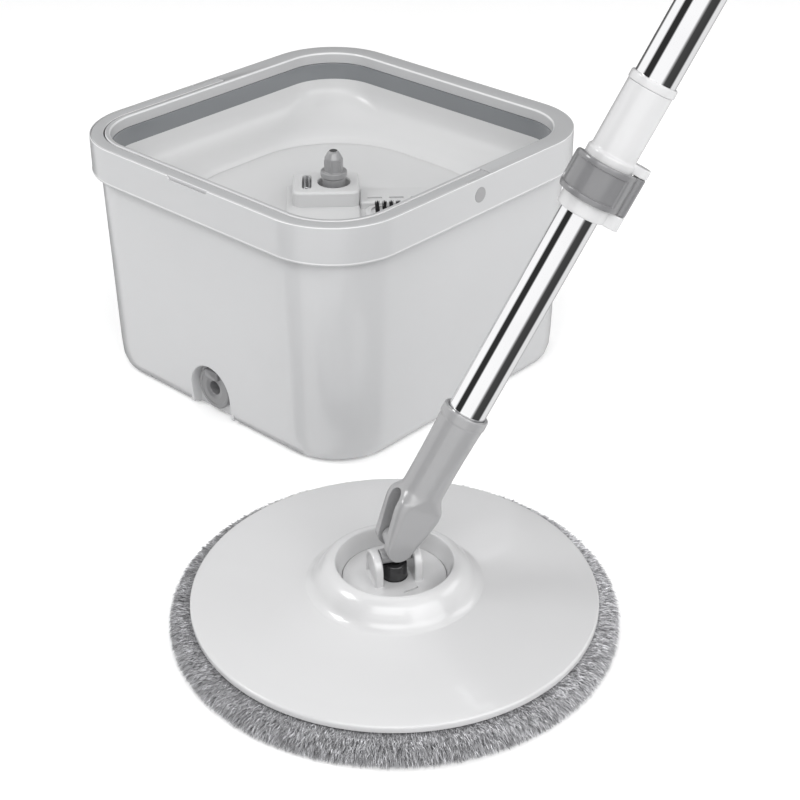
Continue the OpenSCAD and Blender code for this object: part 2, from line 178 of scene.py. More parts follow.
def square(side, corner, z):
    return rectangle(-side / 2, side / 2, -side / 2, side / 2, corner, z, CORNER_STEPS)


def arch(half, low, centre, steps=20):
    """Outline of a doorway: upright sides and a round top of radius half at height centre."""
    out = [(half, low), (-half, low)]
    for k in range(steps + 1):
        a = math.pi * (1 - k / steps)
        out.append((half * math.cos(a), centre + half * math.sin(a)))
    return out


# --------------------------------------------------------------------------------------
# Solids
# --------------------------------------------------------------------------------------
def build(name, points, faces, at=level, sharp=SHARP):
    mesh = bpy.data.meshes.new(name)
    mesh.from_pydata([at @ (Vector(p) * MM) for p in points], [], faces)
    shape = bmesh.new()
    shape.from_mesh(mesh)
    bmesh.ops.recalc_face_normals(shape, faces=shape.faces)
    shape.to_mesh(mesh)
    shape.free()
    piece = bpy.data.objects.new(name, mesh)
    bpy.context.scene.collection.objects.link(piece)
    return smooth(piece, sharp)


def smooth(piece, sharp=SHARP):
    piece.data.shade_smooth()
    piece.data.set_sharp_from_angle(angle=math.radians(sharp))
    return piece


def skin(name, rings, at=level, loop=False):
    """Solid through rings of equally many points; loop joins the last ring to the first."""
    count, size = len(rings), len(rings[0])
    faces = []
    for i in range(count if loop else count - 1):
        a, b = i * size, (i + 1) % count * size
        for j in range(size):
            k = (j + 1) % size
            faces.append((a + j, a + k, b + k, b + j))
    if not loop:
        faces += [tuple(range(size)), tuple(range((count - 1) * size, count * size))]
    return build(name, [p for ring in rings for p in ring], faces, at)


def lathe(name, corners, at=level, hollow=False, steps=CIRCLE):
    """Turned solid; its outline is (radius, height, rounding) corners."""
    outline = rounded(corners, closed=hollow)
    return skin(name, [circle(r, z, steps) for r, z in outline], at, hollow)


def around(name, corners):
    """Bar that runs round the square rim; its section is (inset, height, rounding) corners."""
    rings = [square(RIM - 2 * a, RIM_CORNER - a, z) for a, z in rounded(corners)]
    return skin(name, rings, loop=True)


def block(name, x, y, z, corner, edge, at=level):
    """Block with round corners in plan and a rounded top edge."""
    rings = [rectangle(*x, *y, corner, z[0])]
    for k in range(7):
        a = math.pi / 2 * k / 6
        inset = edge * (1 - math.cos(a))
        rings.append(rectangle(x[0] + inset, x[1] - inset, y[0] + inset, y[1] - inset,
                               max(corner - inset, 0.05), z[1] - edge + edge * math.sin(a)))
    return skin(name, rings, at)


def applied(piece):
    """The piece with its modifiers made final."""
    graph = bpy.context.evaluated_depsgraph_get()
    mesh = bpy.data.meshes.new_from_object(piece.evaluated_get(graph))
    piece.modifiers.clear()
    piece.data = mesh
    return piece


def combined(piece, others, operation):
    for other in others:
        step = piece.modifiers.new("combine", "BOOLEAN")
        step.operation = operation
        step.object = other
        step.solver = "EXACT"
        applied(piece)
        bpy.data.objects.remove(other)
    return smooth(piece)


def cut(piece, *tools):
    return combined(piece, tools, "DIFFERENCE")


def fused(piece, *others):
    return combined(piece, others, "UNION")


def joined(name, *pieces):
    """One object that holds the meshes of all the pieces."""
    shape = bmesh.new()
    for piece in pieces:
        shape.from_mesh(piece.data)
        bpy.data.objects.remove(piece)
    mesh = bpy.data.meshes.new(name)
    shape.to_mesh(mesh)
    shape.free()
    whole = bpy.data.objects.new(name, mesh)
    bpy.context.scene.collection.objects.link(whole)
    return smooth(whole)


def moulded(piece, cell=0.35, rounds=8):
    """Softens every edge, as on a moulded part, by a fine remesh and a few smoothing rounds."""
    remesh = piece.modifiers.new("remesh", "REMESH")
    remesh.mode = "VOXEL"
    remesh.voxel_size = cell * MM
    relax = piece.modifiers.new("relax", "SMOOTH")
    relax.factor = 0.5
    relax.iterations = rounds
    applied(piece)
    return smooth(piece, 60)


def half_of(piece, y, keep_front):
    """Cuts the piece at a plane across Y and closes the cut."""
    shape = bmesh.new()
    shape.from_mesh(piece.data)
    whole = shape.verts[:] + shape.edges[:] + shape.faces[:]
    found = bmesh.ops.bisect_plane(shape, geom=whole, plane_co=(0, y * MM, 0), plane_no=(0, 1, 0),
                                   clear_outer=keep_front, clear_inner=not keep_front)
    rims = [e for e in found["geom_cut"] if isinstance(e, bmesh.types.BMEdge)]
    bmesh.ops.holes_fill(shape, edges=rims, sides=0)
    shape.to_mesh(piece.data)
    shape.free()
    return smooth(piece)


def turned(axis, origin):
    """Frame whose z axis points along the given one."""
    return Matrix.Translation(Vector(origin) * MM) @ Vector(axis).to_track_quat("Z", "Y").to_matrix().to_4x4()


def rod(name, radius, low, high, at, edge=0.3, steps=48):
    return lathe(name, [(0.05, low, 0), (radius, low, edge), (radius, high, edge), (0.05, high, 0)],
                 at, steps=steps)


# --------------------------------------------------------------------------------------
# Materials: every one has its own grain, colour drift and gloss drift
# --------------------------------------------------------------------------------------
class Finish:
    """A node material built up step by step around one Principled shader."""

    def __init__(self, name):
        self.material = bpy.data.materials.new(name)
        self.material.use_nodes = True
        self.nodes = self.material.node_tree.nodes
        self.links = self.material.node_tree.links
        self.shader = self.nodes["Principled BSDF"]
        self.place = self.nodes.new("ShaderNodeTexCoord").outputs["Object"]

    def link(self, start, node, name):
        self.links.new(start, node.inputs[name])

    def noise(self, scale, detail=3, stretch=None):
        place = self.place
        if stretch:
            bend = self.nodes.new("ShaderNodeMapping")
            bend.inputs["Scale"].default_value = stretch
            self.link(place, bend, "Vector")
            place = bend.outputs["Vector"]
        node = self.nodes.new("ShaderNodeTexNoise")
        node.inputs["Scale"].default_value = scale
        node.inputs["Detail"].default_value = detail
        self.link(place, node, "Vector")
        return node.outputs["Fac"]

    def ramp(self, source, stops, target):
        node = self.nodes.new("ShaderNodeValToRGB")
        while len(node.color_ramp.elements) < len(stops):
            node.color_ramp.elements.new(0.5)
        for element, (at, colour) in zip(node.color_ramp.elements, stops):
            element.position = at
            element.color = (*colour, 1)
        self.link(source, node, "Fac")
        self.link(node.outputs["Color"], self.shader, target)

    def drift(self, source, low, high, target):
        node = self.nodes.new("ShaderNodeMapRange")
        node.inputs["From Min"].default_value = 0.3
        node.inputs["From Max"].default_value = 0.7
        node.inputs["To Min"].default_value = low
        node.inputs["To Max"].default_value = high
        self.link(source, node, "Value")
        self.link(node.outputs["Result"], self.shader, target)

    def bump(self, source, strength, depth):
        node = self.nodes.new("ShaderNodeBump")
        node.inputs["Strength"].default_value = strength
        node.inputs["Distance"].default_value = depth * MM
        self.link(source, node, "Height")
        before = self.shader.inputs["Normal"].links
        if before:
            self.link(before[0].from_socket, node, "Normal")
        self.link(node.outputs["Normal"], self.shader, "Normal")

    def fixed(self, **values):
        for name, value in values.items():
            self.shader.inputs[name.replace("_", " ")].default_value = value


def tint(colour, by):
    return tuple(min(1, c * by) for c in colour)


def moulded_skin(finish, gloss, depth, coat):
    """What all moulded plastic has: a slow gloss drift, a fine grain, a faint waviness and a clear top layer."""
    finish.drift(finish.noise(28, 2), gloss - 0.02, gloss + 0.03, "Roughness")
    finish.bump(finish.noise(900, 2), 0.25, depth)
    finish.bump(finish.noise(14, 1), 0.1, 0.04)
    finish.fixed(Coat_Weight=coat, Coat_Roughness=0.08, Specular_IOR_Level=0.5)
    return finish.material


def plastic(name, colour, drift, gloss, depth=0.012, coat=0.0):
    """Moulded plastic with faint flow marks."""
    finish = Finish(name)
    flow = finish.noise(9, 4)
    finish.ramp(flow, [(0.3, tint(colour, 1 - drift)), (0.7, tint(colour, 1 + drift))], "Base Color")
    return moulded_skin(finish, gloss, depth, coat)


def rim_plastic_painted_light(name, side, edge, top):
    """Moulded plastic coloured by which way it faces: painted shade darkens the flat top, and a painted highlight
    runs as a lighter line along the rounded edges.
    """
    finish = Finish(name)
    facing = finish.nodes.new("ShaderNodeSeparateXYZ")
    finish.link(finish.nodes.new("ShaderNodeTexCoord").outputs["Normal"], facing, "Vector")
    # by facing: sides keep their colour, rounded edges get a painted highlight, the flat top gets painted shade
    finish.ramp(facing.outputs["Z"], [(0.12, side), (0.35, edge), (0.86, edge), (0.96, top)], "Base Color")
    return moulded_skin(finish, 0.31, 0.012, 0.5)


def metal(name, colour, gloss, stretch, depth):
    """Metal with fine draw lines along one direction and a few duller patches."""
    finish = Finish(name)
    finish.ramp(finish.noise(14, 3), [(0.3, tint(colour, 0.95)), (0.7, tint(colour, 1.03))], "Base Color")
    finish.drift(finish.noise(60, 4), gloss * 0.7, gloss * 1.4, "Roughness")
    finish.bump(finish.noise(400, 2, stretch), 0.15, depth)
    finish.fixed(Metallic=1.0)
    return finish.material


def rubber(name, colour):
    finish = Finish(name)
    finish.ramp(finish.noise(40, 4), [(0.3, tint(colour, 0.85)), (0.7, tint(colour, 1.2))], "Base Color")
    finish.drift(finish.noise(90, 3), 0.6, 0.8, "Roughness")
    finish.bump(finish.noise(1500, 2), 0.5, 0.05)
    finish.fixed(Sheen_Weight=0.15, Sheen_Roughness=0.5)
    return finish.material


def fabric(name, colours):
    """Fibre colours follow a stored tone, which holds each tuft's random tone and painted shade that darkens each
    strand towards its root, broken up by fine noise, with a soft sheen.
    """
    finish = Finish(name)
    tone = finish.nodes.new("ShaderNodeAttribute")
    tone.attribute_name = "tone"
    finish.ramp(tone.outputs["Fac"], colours, "Base Color")
    finish.drift(finish.noise(200, 3), 0.55, 0.8, "Roughness")
    finish.bump(finish.noise(1400, 2), 0.4, 0.1)
    finish.fixed(Sheen_Weight=0.4, Sheen_Roughness=0.4)
    return finish.material


def mottled(name, low, high, gloss, scale, depth):
    """Rough mass of nylon or fibre roots whose colour wanders between two tones."""
    finish = Finish(name)
    finish.ramp(finish.noise(scale, 4), [(0.35, low), (0.65, high)], "Base Color")
    finish.drift(finish.noise(scale * 0.3, 3), gloss - 0.08, gloss + 0.08, "Roughness")
    finish.bump(finish.noise(scale * 2, 2), 0.6, depth)
    return finish.material


# One finish for each material slot of the CAD model
SURFACES = {
    "white_shell": plastic("shell_white", (0.475, 0.478, 0.485), 0.012, 0.31, coat=0.5),
    "white_head": plastic("head_white", (0.54, 0.54, 0.545), 0.010, 0.31, coat=0.6),
    "grey_plastic": plastic("mid_grey", (0.275, 0.275, 0.28), 0.03, 0.31, coat=0.7),
    "trim_grey": plastic("band_grey", (0.18, 0.19, 0.20), 0.02, 0.16, depth=0.006, coat=0.5),
    "black_plastic": plastic("hub_black", (0.016, 0.016, 0.017), 0.1, 0.2, coat=0.3),
    "bearing_plastic": plastic("bearing_white", (0.62, 0.60, 0.53), 0.03, 0.5),
    "chromed_tube": metal("chromed_tube", (0.86, 0.86, 0.87), 0.055, (1, 1, 0.02), 0.004),
    "steel": metal("plain_steel", (0.58, 0.58, 0.59), 0.18, (1, 1, 0.1), 0.01),
    "soft_rubber": rubber("soft_rubber", (0.07, 0.07, 0.072)),
    "grip_rubber": rubber("grip_rubber", (0.24, 0.24, 0.25)),
    "bristle_nylon": mottled("bristle_nylon", (0.008, 0.008, 0.009), (0.03, 0.03, 0.032), 0.4, 900, 0.02),
    "hook_tape": mottled("hook_tape", (0.05, 0.05, 0.05), (0.16, 0.16, 0.16), 0.8, 1800, 0.3),
    "nut_brass": metal("nut_brass", (0.62, 0.48, 0.20), 0.22, (1, 1, 0.2), 0.01),
    "microfibre": fabric("pile", [(0.0, (0.06, 0.06, 0.063)), (0.4, (0.28, 0.28, 0.29)),
                                  (0.75, (0.62, 0.62, 0.64)), (1.0, (0.92, 0.92, 0.95))]),
}
# Finishes of single pieces whose look differs from the rest of their slot
deep_grey = plastic("deep_grey", (0.165, 0.165, 0.17), 0.03, 0.31, coat=0.6)
# lighter copy of the shell's white for the tub and the parts on its floor: painted light that makes up for the shade
# inside the bucket
tub_white_painted_light = plastic("tub_white_painted_light", (0.58, 0.582, 0.585), 0.010, 0.31, coat=0.1)
# rim and handle colours: the sides, a lighter painted highlight on the rounded edges, and a darker painted shade on
# the flat top
rim_white_painted_light = rim_plastic_painted_light("rim_white_painted_light", (0.455, 0.458, 0.465), (0.66, 0.66, 0.665), (0.43, 0.433, 0.44))
pad_core = mottled("pile_root", (0.08, 0.08, 0.085), (0.28, 0.28, 0.29), 0.85, 700, 0.4)


def show(piece, surface, body, *nodes, finish=None):
    """Gives the piece its finish, lets it move with its body, and hides the nodes it stands for."""
    piece.data.materials.clear()
    piece.data.materials.append(finish or SURFACES[surface])
    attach(piece, body)
    if nodes:
        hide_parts(*nodes)
    return piece


# Inner parts keep the CAD model's shape and only get a finish
for row in frame["record"]["subparts"]:
    node = frame["nodes"][row["node"]]
    node.data.materials.clear()
    node.data.materials.append(SURFACES[row["material_slot"]])
    smooth(node, 30)


# --------------------------------------------------------------------------------------
# Bucket
# --------------------------------------------------------------------------------------
def drain_niche():
    """Cutter with an arch-shaped outline whose edges flare at the mouth and close in at the back."""
    rings = []
    for depth, grow in [(-3, 2.2), (-0.4, 1.2), (0.2, 0.6), (0.9, 0.2), (2, 0), (8, 0), (8.7, -0.3), (9, -1)]:
        outline = arch(NICHE_R + grow, -6, NICHE_Z)
        rings.append([(x, RECESS_Y - 9 + depth, z) for x, z in outline])
    return skin("niche_tool", rings)


def bucket_shell():
    """Rows give the side of the square, its corner radius and its height."""
    outside = [(238, 38, 0), (249, 42, 0.6), (256, 45, 3.2), (260, 47, 9), (262, 48.5, 20), (265, 49.3, 90),
               (268, 50, 159), (267.4, 49.7, 160)]
    inside = [(263, 47.5, 160), (260, 46.8, 90), (257, 46, 20), (254, 44.5, 8), (246, 42, 4), (236, 38, 3)]
    shell = skin("bucket_shell", [square(*row) for row in outside + inside])
    wall = skin("niche_wall", [[(x, y, z) for x, z in arch(NICHE_R + 2.6, 3, NICHE_Z)]
                               for y in (RECESS_Y - 7.4, RECESS_Y + 2.5)])
    fused(shell, wall)
    feet = [rod("foot_tool", 12.1, -1, 2.05, Matrix.Translation((x * FOOT_AT * MM, y * FOOT_AT * MM, 0)))
            for x in (-1, 1) for y in (-1, 1)]
    bore = rod("bore_tool", 11, -4, 6, turned((0, 1, 0), (0, RECESS_Y, DRAIN_Z)))
    return cut(shell, drain_niche(), bore, *feet)


def pivot(side):
    """Frame whose z axis points outward along the handle's axis on one side."""
    return turned((side, 0, 0), (0, 0, PIVOT_Z))


def pocket_tools():
    """Room for the handle's ends behind the skirt, on both sides."""
    return [rod("pocket_tool", SWING_R - 0.2, 129.2, 137.4, pivot(side), 0.1, 64) for side in (-1, 1)]


def skin_tools(radius, thick, behind):
    """Room round each pivot in the outer skin: a drum, and a box from the pivot to the seam."""
    tools = []
    for side in (-1, 1):
        drum = rod("skin_drum", radius, RIM / 2 - thick, RIM / 2 + 3, pivot(side), 0.02, 96)
        low, high = sorted((side * (RIM / 2 - thick), side * (RIM / 2 + 3)))
        box = block("skin_box", (low, high), (-1, behind), (SKIRT_Z + 10, TOP + 5), 0.05, 0.02)
        tools.append(fused(drum, box))
    return tools


def rim_collar():
    """One bar round the mouth; along its front half a rebate takes the handle behind a thin skin."""
    rim = around("rim_collar", [
        (0, SKIRT_Z, 0.4), (-0.25, SKIRT_Z + 0.9, 0.3), (0, SKIRT_Z + 1.8, 0.5), (0, TOP, 0.7), (LIP, TOP, 1.6),
        (LIP, 176.4, 0.8), (12.4, 176.4, 0.2), (12.4, 162.4, 0.2), (11.3, 162.4, 0.2), (11.3, 176, 0.6),
        (2.5, 176, 0.6), (2.5, SKIRT_Z, 0.6)])
    low, deep, high = BAND_Z - 0.3, BAND + 0.7, TOP - 0.1
    rebate = around("rebate_tool", [
        (SKIN, low, 0), (deep, low, 0), (deep, high - 0.9, 0.3), (deep + 0.2, high - 0.2, 0.3),
        (deep + 0.7, high + 0.15, 0), (deep + 0.7, TOP + 3, 0), (SKIN - 0.1, TOP + 3, 0), (SKIN, TOP - 0.5, 0)])
    half_of(rebate, SEAM_Y + 0.1, True)
    cut(rebate, *skin_tools(SWING_R - 0.3, 2.2, SEAM_Y + 20))
    notch = block("notch_tool", (-20, 20), (-2.6, 2.6), (-2, 1.1), 2.5, 0.1,
                  turned((0, 1, 0), (0, -RIM / 2, TOP)))
    return cut(rim, *pocket_tools(), rebate, notch)


def carrying_handle():
    """Band along the rim's front half, with a stem and a pierced ear at each pivot."""
    outer, inner, top = SKIN + 0.3, BAND - 0.3, TOP - 0.15
    band = around("handle_band", [(outer, BAND_Z, 0.25), (outer, top, 0.5), (inner, top, 0.4), (inner, BAND_Z, 0.25)])
    parts = [cut(half_of(band, SEAM_Y - 0.3, True), *skin_tools(SWING_R, 2.8, SEAM_Y + 20))]
    for side in (-1, 1):
        ear = [(2.55, 131, 0), (6.5, 131, 0.5), (6.5, 137, 0.5), (2.55, 137, 0)]
        parts.append(lathe("ear", ear, pivot(side), True, 64))
        stem = rectangle(131, 137, -6.4, 6.4, 0.6, PIVOT_Z + 3), rectangle(131, 137, -6.4, 6.4, 0.6, BAND_Z + 1)
        parts.append(skin("stem", [[(side * x, y, z) for x, y, z in ring] for ring in stem]))
    return joined("carrying_handle", *parts)


def pivot_cap(side):
    wide = CAP_R - 0.1
    return lathe("pivot_cap_right" if side > 0 else "pivot_cap_left",
                 [(0.05, 129.6, 0), (2.5, 129.6, 0.3), (2.5, 138.4, 0), (wide, 138.4, 0), (wide, 140.35, 0.4),
                  (0.05, 140.35, 0)], pivot(side), steps=64)


def wash_tub():
    """Bowl-shaped tub; rows give its inset from the opening, corner radius and height."""
    bowl = flowing([(-0.3, 41.3, 163), (0.2, 44, 154), (2.4, 50, 147.6), (7, 57, 142), (13, 64, 137.6),
                    (19, 70, 134.4), (23.5, 74, 131.6), (26, 76, 128.9)])
    bowl += flowing([(26.6, 76.4, 128.3), (27.4, 76.8, 128.03), (44, 74, 128)], 2)
    under = [(30, 78, 125.6), (13, 70, 129.8), (4, 60, 137.5), (-1, 52, 146), (-2.4, 47, 152), (-2.4, 46, 159.9),
             (-12, 53, 160), (-12, 53, 162.3), (-0.5, 43, 162.6)]
    rows = [Vector(r) for r in under] + bowl
    return cut(skin("wash_tub", [square(MOUTH - 2 * a, r, z) for a, r, z in rows]), *pocket_tools())


def post_housing():
    body = block("post_housing", (-30.5, 18.5), (-20, 20), (FLOOR_Z, BLOCK_Z), 6, 2.2, arm)
    well = lathe("well_tool", [(0.05, 131, 0), (11.75, 131, 0.4), (11.75, 141, 0.5), (13, 143, 0), (0.05, 143, 0)],
                 arm)
    slot = block("slot_tool", (-3.5, 3.5), (-12.6, 12.6), (-1, 5.2), 3.4, 0.8,
                 arm @ turned((0, 0, -1), (ROLLER_X, 0, BLOCK_Z)))
    cut(body, well, slot)
    plinth = block("plinth", (-35, 18.5), (-44, 24), (FLOOR_Z, FLOOR_Z + 2.5), 5, 1, arm)
    tower = lathe("bearing_tower", [(6.5, 108, 0.3), (9, 108, 0.5), (9, 130, 0), (6.5, 130, 0)], arm, True)
    return joined("post_housing", body, plinth, tower)


def channel_cover():
    cover = block("channel_cover", (18.7, 88), (-19, 7), (FLOOR_Z, 133.5), 3, 1.6, arm)
    tools = [block("slit_tool", (24 + 16 * i, 35 + 16 * i), (-12.6, -9.8), (127, 135), 0.9, 0.1, arm)
             for i in range(4)]
    return cut(cover, *tools)


def brush_frame():
    base = block("brush_frame", (22, 86), (-42, -21), (FLOOR_Z, 132.5), 9, 1.6, arm)
    sill = block("brush_sill", (26.5, 81.5), (-39.4, -23.6), (131.2, 133), 7, 0.2, arm)
    return cut(base, sill)


def bristles():
    """Tufts of single filaments that fan out a little towards their tips."""
    chance = random.Random(7)
    tufts, filaments = 10, 34
    points, faces = [], []
    for row in (-36.5, -26.5):
        for tuft in range(tufts):
            x = 31 + 46 * tuft / (tufts - 1)
            for _ in range(filaments):
                turn, far = chance.uniform(0, 2 * math.pi), math.sqrt(chance.random())
                tip = Vector((math.cos(turn), math.sin(turn), 0)) * far
                height = 137.6 - chance.uniform(0, 0.9)
                rings = [(1.3, 129.6, 0.17), (1.6, 134.5, 0.16), (1.9, height, 0.11)]
                first = len(points)
                for spread, z, thick in rings:
                    for k in range(4):
                        a = math.pi / 2 * k
                        points.append((x + tip.x * spread + thick * math.cos(a),
                                       row + tip.y * spread + thick * math.sin(a), z))
                for ring in (0, 4):
                    for k in range(4):
                        a, b = first + ring + k, first + ring + (k + 1) % 4
                        faces.append((a, b, b + 4, a + 4))
                faces += [tuple(first + k for k in (3, 2, 1, 0)), tuple(first + 8 + k for k in range(4))]
    return build("brush_bristles", points, faces, arm)


def spin_post():
    body = lathe("spin_post", [
        (3, 131.4, 0), (8.6, 131.4, 0.4), (8.6, 146, 0.2), (9.8, 147.2, 0.4), (9.8, 151, 0.8), (6.9, 151, 0.5),
        (6.6, 161, 0.6), (4.2, 165.2, 0.9), (3, 166, 0)], hollow=True)
    ribs = [rod("rib", 1.1, 150.2, 160, Matrix.Rotation(math.pi / 3 * i, 4, "Z")
                @ Matrix.Translation((0.0061, 0, 0)), 0.5, 20) for i in range(6)]
    return joined("spin_post", body, *ribs)


def press_roller():
    at = arm @ turned((0, 1, 0), (ROLLER_X, 0, BLOCK_Z - 2.2))
    return lathe("press_roller", [(0.05, -14, 0), (1, -14, 0.2), (1, -11, 0), (2.6, -11, 0.5), (2.6, 11, 0.5),
                                  (1, 11, 0), (1, 14, 0.2), (0.05, 14, 0)], at, steps=64)


def drain_plug():
    at = turned((0, -1, 0), (0, RECESS_Y, DRAIN_Z))
    plug = lathe("drain_plug", [
        (0.05, -8, 0), (7.5, -8, 0.3), (10.8, -8, 0.6), (10.8, 0.2, 0.2), (16, 0.2, 0.6), (16, 5.2, 1.2),
        (13.2, 5.2, 0.3), (12.8, 4.8, 0.3), (8.4, 4.8, 0.8), (5.2, 4.1, 0.5), (4.7, -4.5, 0.8), (0.05, -4.5, 0)], at)
    tab = skin("tab", [rectangle(-6.5 + g, 6.5 - g, 8 + g, 15.4 - g, 1.6, z)
                       for g, z in [(0, 1.6), (0, 6.6), (0.35, 7.3), (1.1, 7.7)]], at)
    return joined("drain_plug", plug, tab)


# --------------------------------------------------------------------------------------
# Mop head
# --------------------------------------------------------------------------------------
def mop_plate():
    """Turned plate: rim, shallow dome, collar round the joint, and the hollow underside."""
    dome = flowing([(112, 20.5), (100, 21.9), (86, 23.3), (72, 24.7), (60, 26.1), (53.6, 26.9)], 4)
    dome += flowing([(53.4, 26.98), (52, 27.7), (50.2, 28.9), (48.4, 30.8), (46.8, 33.4), (45, 36), (42.8, 38.5),
                     (40.2, 40.4), (37.8, 41.4), (36, 41.7)], 4)
    dome += flowing([(35.6, 41.6), (35.2, 41.1), (34.4, 39.2), (33.4, 36)], 4)
    rim = rounded([(120.4, 16.9, 0), (120.4, 14.9, 0.3), (PLATE_R, 14.9, 0.7), (PLATE_R, 19.4, 1.7), (112, 20.5, 0)],
                  closed=False)
    inside = [(32.4, 31.5), (31.7, 30.6), (31.7, 25.9), (15.3, 25.9), (15.3, 22.6), (40, 22.6), (99, 18.6)]
    outline = rim[:-1] + dome + [Vector(p) for p in inside]
    return skin("mop_plate", [circle(r, z, 256) for r, z in outline], mop, True)


def ear(side):
    """Upright ear with a rounded rim around a shallow recess in its outer face."""
    rings = []
    for x, inset in [(9.7, 0.9), (10, 0.35), (10.6, 0), (14, 0), (14.6, 0.35), (14.9, 0.9), (14.9, 1.6),
                     (14.6, 2.1), (13.5, 2.5), (13.4, 3)]:
        outline = arch(10.5 - inset, 29.5 + (inset if x > 13 and inset > 1.5 else 0), 40)
        rings.append([(side * x, y, z) for y, z in outline])
    return skin("ear", rings, mop)


def turntable():
    """Swivel disc with its two ears, a short curved mark, and the neck that it turns on."""
    disc = lathe("turntable", [(7.7, 26.3, 0.3), (31.4, 26.3, 0.4), (31.4, 31, 0.7), (7.7, 31, 0.5)], mop, True, 192)
    fused(disc, ear(-1), ear(1))
    moulded(disc, 0.32, 6)
    mark = []
    for k in range(9):
        a = math.radians(-90 + 32 * k / 8)
        half = 0.8 * math.sqrt(1 - (k / 4 - 1) ** 6 * 0.7)
        mark.append([(r * math.cos(a), r * math.sin(a), z)
                     for r, z in [(MARK_R - half, 29.9), (MARK_R + half, 29.9),
                                  (MARK_R + half, 32), (MARK_R - half, 32)]])
    cut(disc, skin("mark_tool", mark, mop))
    collar = lathe("turntable_neck", [(12.6, 19.6, 0.3), (15, 19.6, 0.3), (15, 26.5, 0), (12.6, 26.5, 0)], mop, True)
    return joined("turntable", disc, collar)


def spin_hub():
    return lathe("spin_hub", [
        (6.8, 25.2, 0), (7.8, 25.2, 0.2), (7.8, 15, 0.5), (12.3, 15, 0.2), (12.3, 16.85, 0), (27, 16.85, 0.3),
        (27, 19.05, 0.3), (12.3, 19.05, 0.2), (12.3, 26, 0.6), (7.5, 26, 0.2), (7.5, 41, 1.2), (3.8, 41, 0.3),
        (3.8, 32, 0)], mop, True)


def knuckle():
    """Cross piece of the joint: a barrel between the ears and an eye between the fork's prongs."""
    barrel = rod("knuckle", 4.6, -9.3, 9.3, mop @ turned((1, 0, 0), (0, 0, 46)), 0.5)
    neck = block("neck", (-5, 5), (-4.4, 4.4), (45, 58), 1.5, 0.3, mop)
    eye = rod("eye", 6.2, -5.6, 5.6, mop @ turned((0, 1, 0), (0, 0, 57)), 0.5)
    return moulded(fused(barrel, neck, eye), 0.3, 6)


def plain_pad():
    """Dense base of the pad, that the pile grows from."""
    outline = [(PAD_HOLE, 1.2, 1), (PAD_R - 6.5, 1.2, 3), (PAD_R - 5, 6, 3), (PAD_R - 7, PAD_T - 2.6, 3),
               (PAD_R - 14, PAD_T - 1.1, 1), (PAD_HOLE, PAD_T - 0.2, 1)]
    return lathe("pad_core", outline, mop, True, 256)


def pile():
    """Single fibres in tufts: combed outward over the rim, and standing down from the underside."""
    chance = random.Random(21)
    points, faces, tones_with_painted_shade = [], [], []

    def fibre(root, middle, tip, thick, tone):
        """Three-sided strand that tapers to a point, with painted shade that darkens it towards its root."""
        first = len(points)
        side = (tip - root).cross(up).normalized()
        lift = side.cross(tip - root).normalized()
        # the strand's tone rises towards its tip: painted shade darkens the root, under the plate and among the other
        # fibres, and the tip is painted lighter
        for p, wide, shade in ((root, thick, tone), (middle, 0.8 * thick, tone + 0.06)):
            for k in range(3):
                a = 2 * math.pi * k / 3
                points.append(p + (side * math.cos(a) + lift * math.sin(a)) * wide)
                tones_with_painted_shade.append(min(1, max(0, shade)))
        points.append(tip)
        tones_with_painted_shade.append(min(1, max(0, tone + 0.16)))
        for k in range(3):
            a, b = first + k, first + (k + 1) % 3
            faces.append((a, b, b + 3, a + 3))
            faces.append((a + 3, b + 3, first + 6))
        faces.append((first + 2, first + 1, first))

    def tuft(angle, radius, z, pitch, length, count, thick):
        tone = chance.gauss(0.42, 0.08)
        swirl = chance.gauss(0, 0.2)
        for _ in range(count):
            a = angle + chance.gauss(0, 0.6) / radius
            turn = a + swirl + chance.gauss(0, 0.25)
            out = Vector((math.cos(turn), math.sin(turn), 0))
            root = Vector((math.cos(a), math.sin(a), 0)) * (radius + chance.gauss(0, 0.6))
            root.z = z + chance.gauss(0, 0.3)
            rise = pitch + chance.gauss(0, 0.15)
            size = length * chance.uniform(0.7, 1.15)
            line = []
            for t in (0.55, 1.0):
                droop = rise - 0.5 * t
                p = root + (out * math.cos(droop) + up * math.sin(droop)) * size * t
                p *= min(1, (PAD_R + 1) / math.hypot(p.x, p.y))
                p.z = min(max(p.z, 0.25), PAD_T + 0.1)
                line.append(p)
            fibre(root, *line, thick, tone + chance.gauss(0, 0.22))

    top_rows = [(PAD_R - 23 + 1.55 * i, PAD_T - 1.5 - 0.01 * i * i, 0.45, 4.2) for i in range(10)]
    rim_rows = [(PAD_R - 7.6, PAD_T - 2.8, 0.4, 5), (PAD_R - 6.6, PAD_T - 3.9, 0.35, 5.4),
                (PAD_R - 6, PAD_T - 5.3, 0.28, 5.8), (PAD_R - 5.6, PAD_T - 6.8, 0.2, 6),
                (PAD_R - 5.4, PAD_T - 8.4, 0.1, 6), (PAD_R - 5.4, PAD_T - 10, 0.02, 6),
                (PAD_R - 5.8, PAD_T - 11.4, -0.05, 6), (PAD_R - 7, 1.9, -0.1, 6)]
    tufts = 700
    for row, (radius, z, pitch, length) in enumerate(top_rows + rim_rows):
        for i in range(tufts):
            angle = 2 * math.pi * (i + 0.5 * (row % 2) + chance.uniform(-0.3, 0.3)) / tufts
            tuft(angle, radius, z, pitch, length, 5, 0.25)
    for ring in range(26):
        radius = PAD_HOLE + 3 + ring * 4.0
        count = int(2 * math.pi * radius / 4.6)
        for i in range(count):
            angle = 2 * math.pi * (i + chance.uniform(-0.3, 0.3)) / count
            tuft(angle, radius, 2.2, -0.35, 6.5, 4, 0.34)
    piece = build("mop_pad", points, faces, mop)
    # the stored tone holds each tuft's random tone and the painted shade towards the fibre roots
    layer = piece.data.attributes.new("tone", "FLOAT", "POINT")
    layer.data.foreach_set("value", tones_with_painted_shade)
    return piece


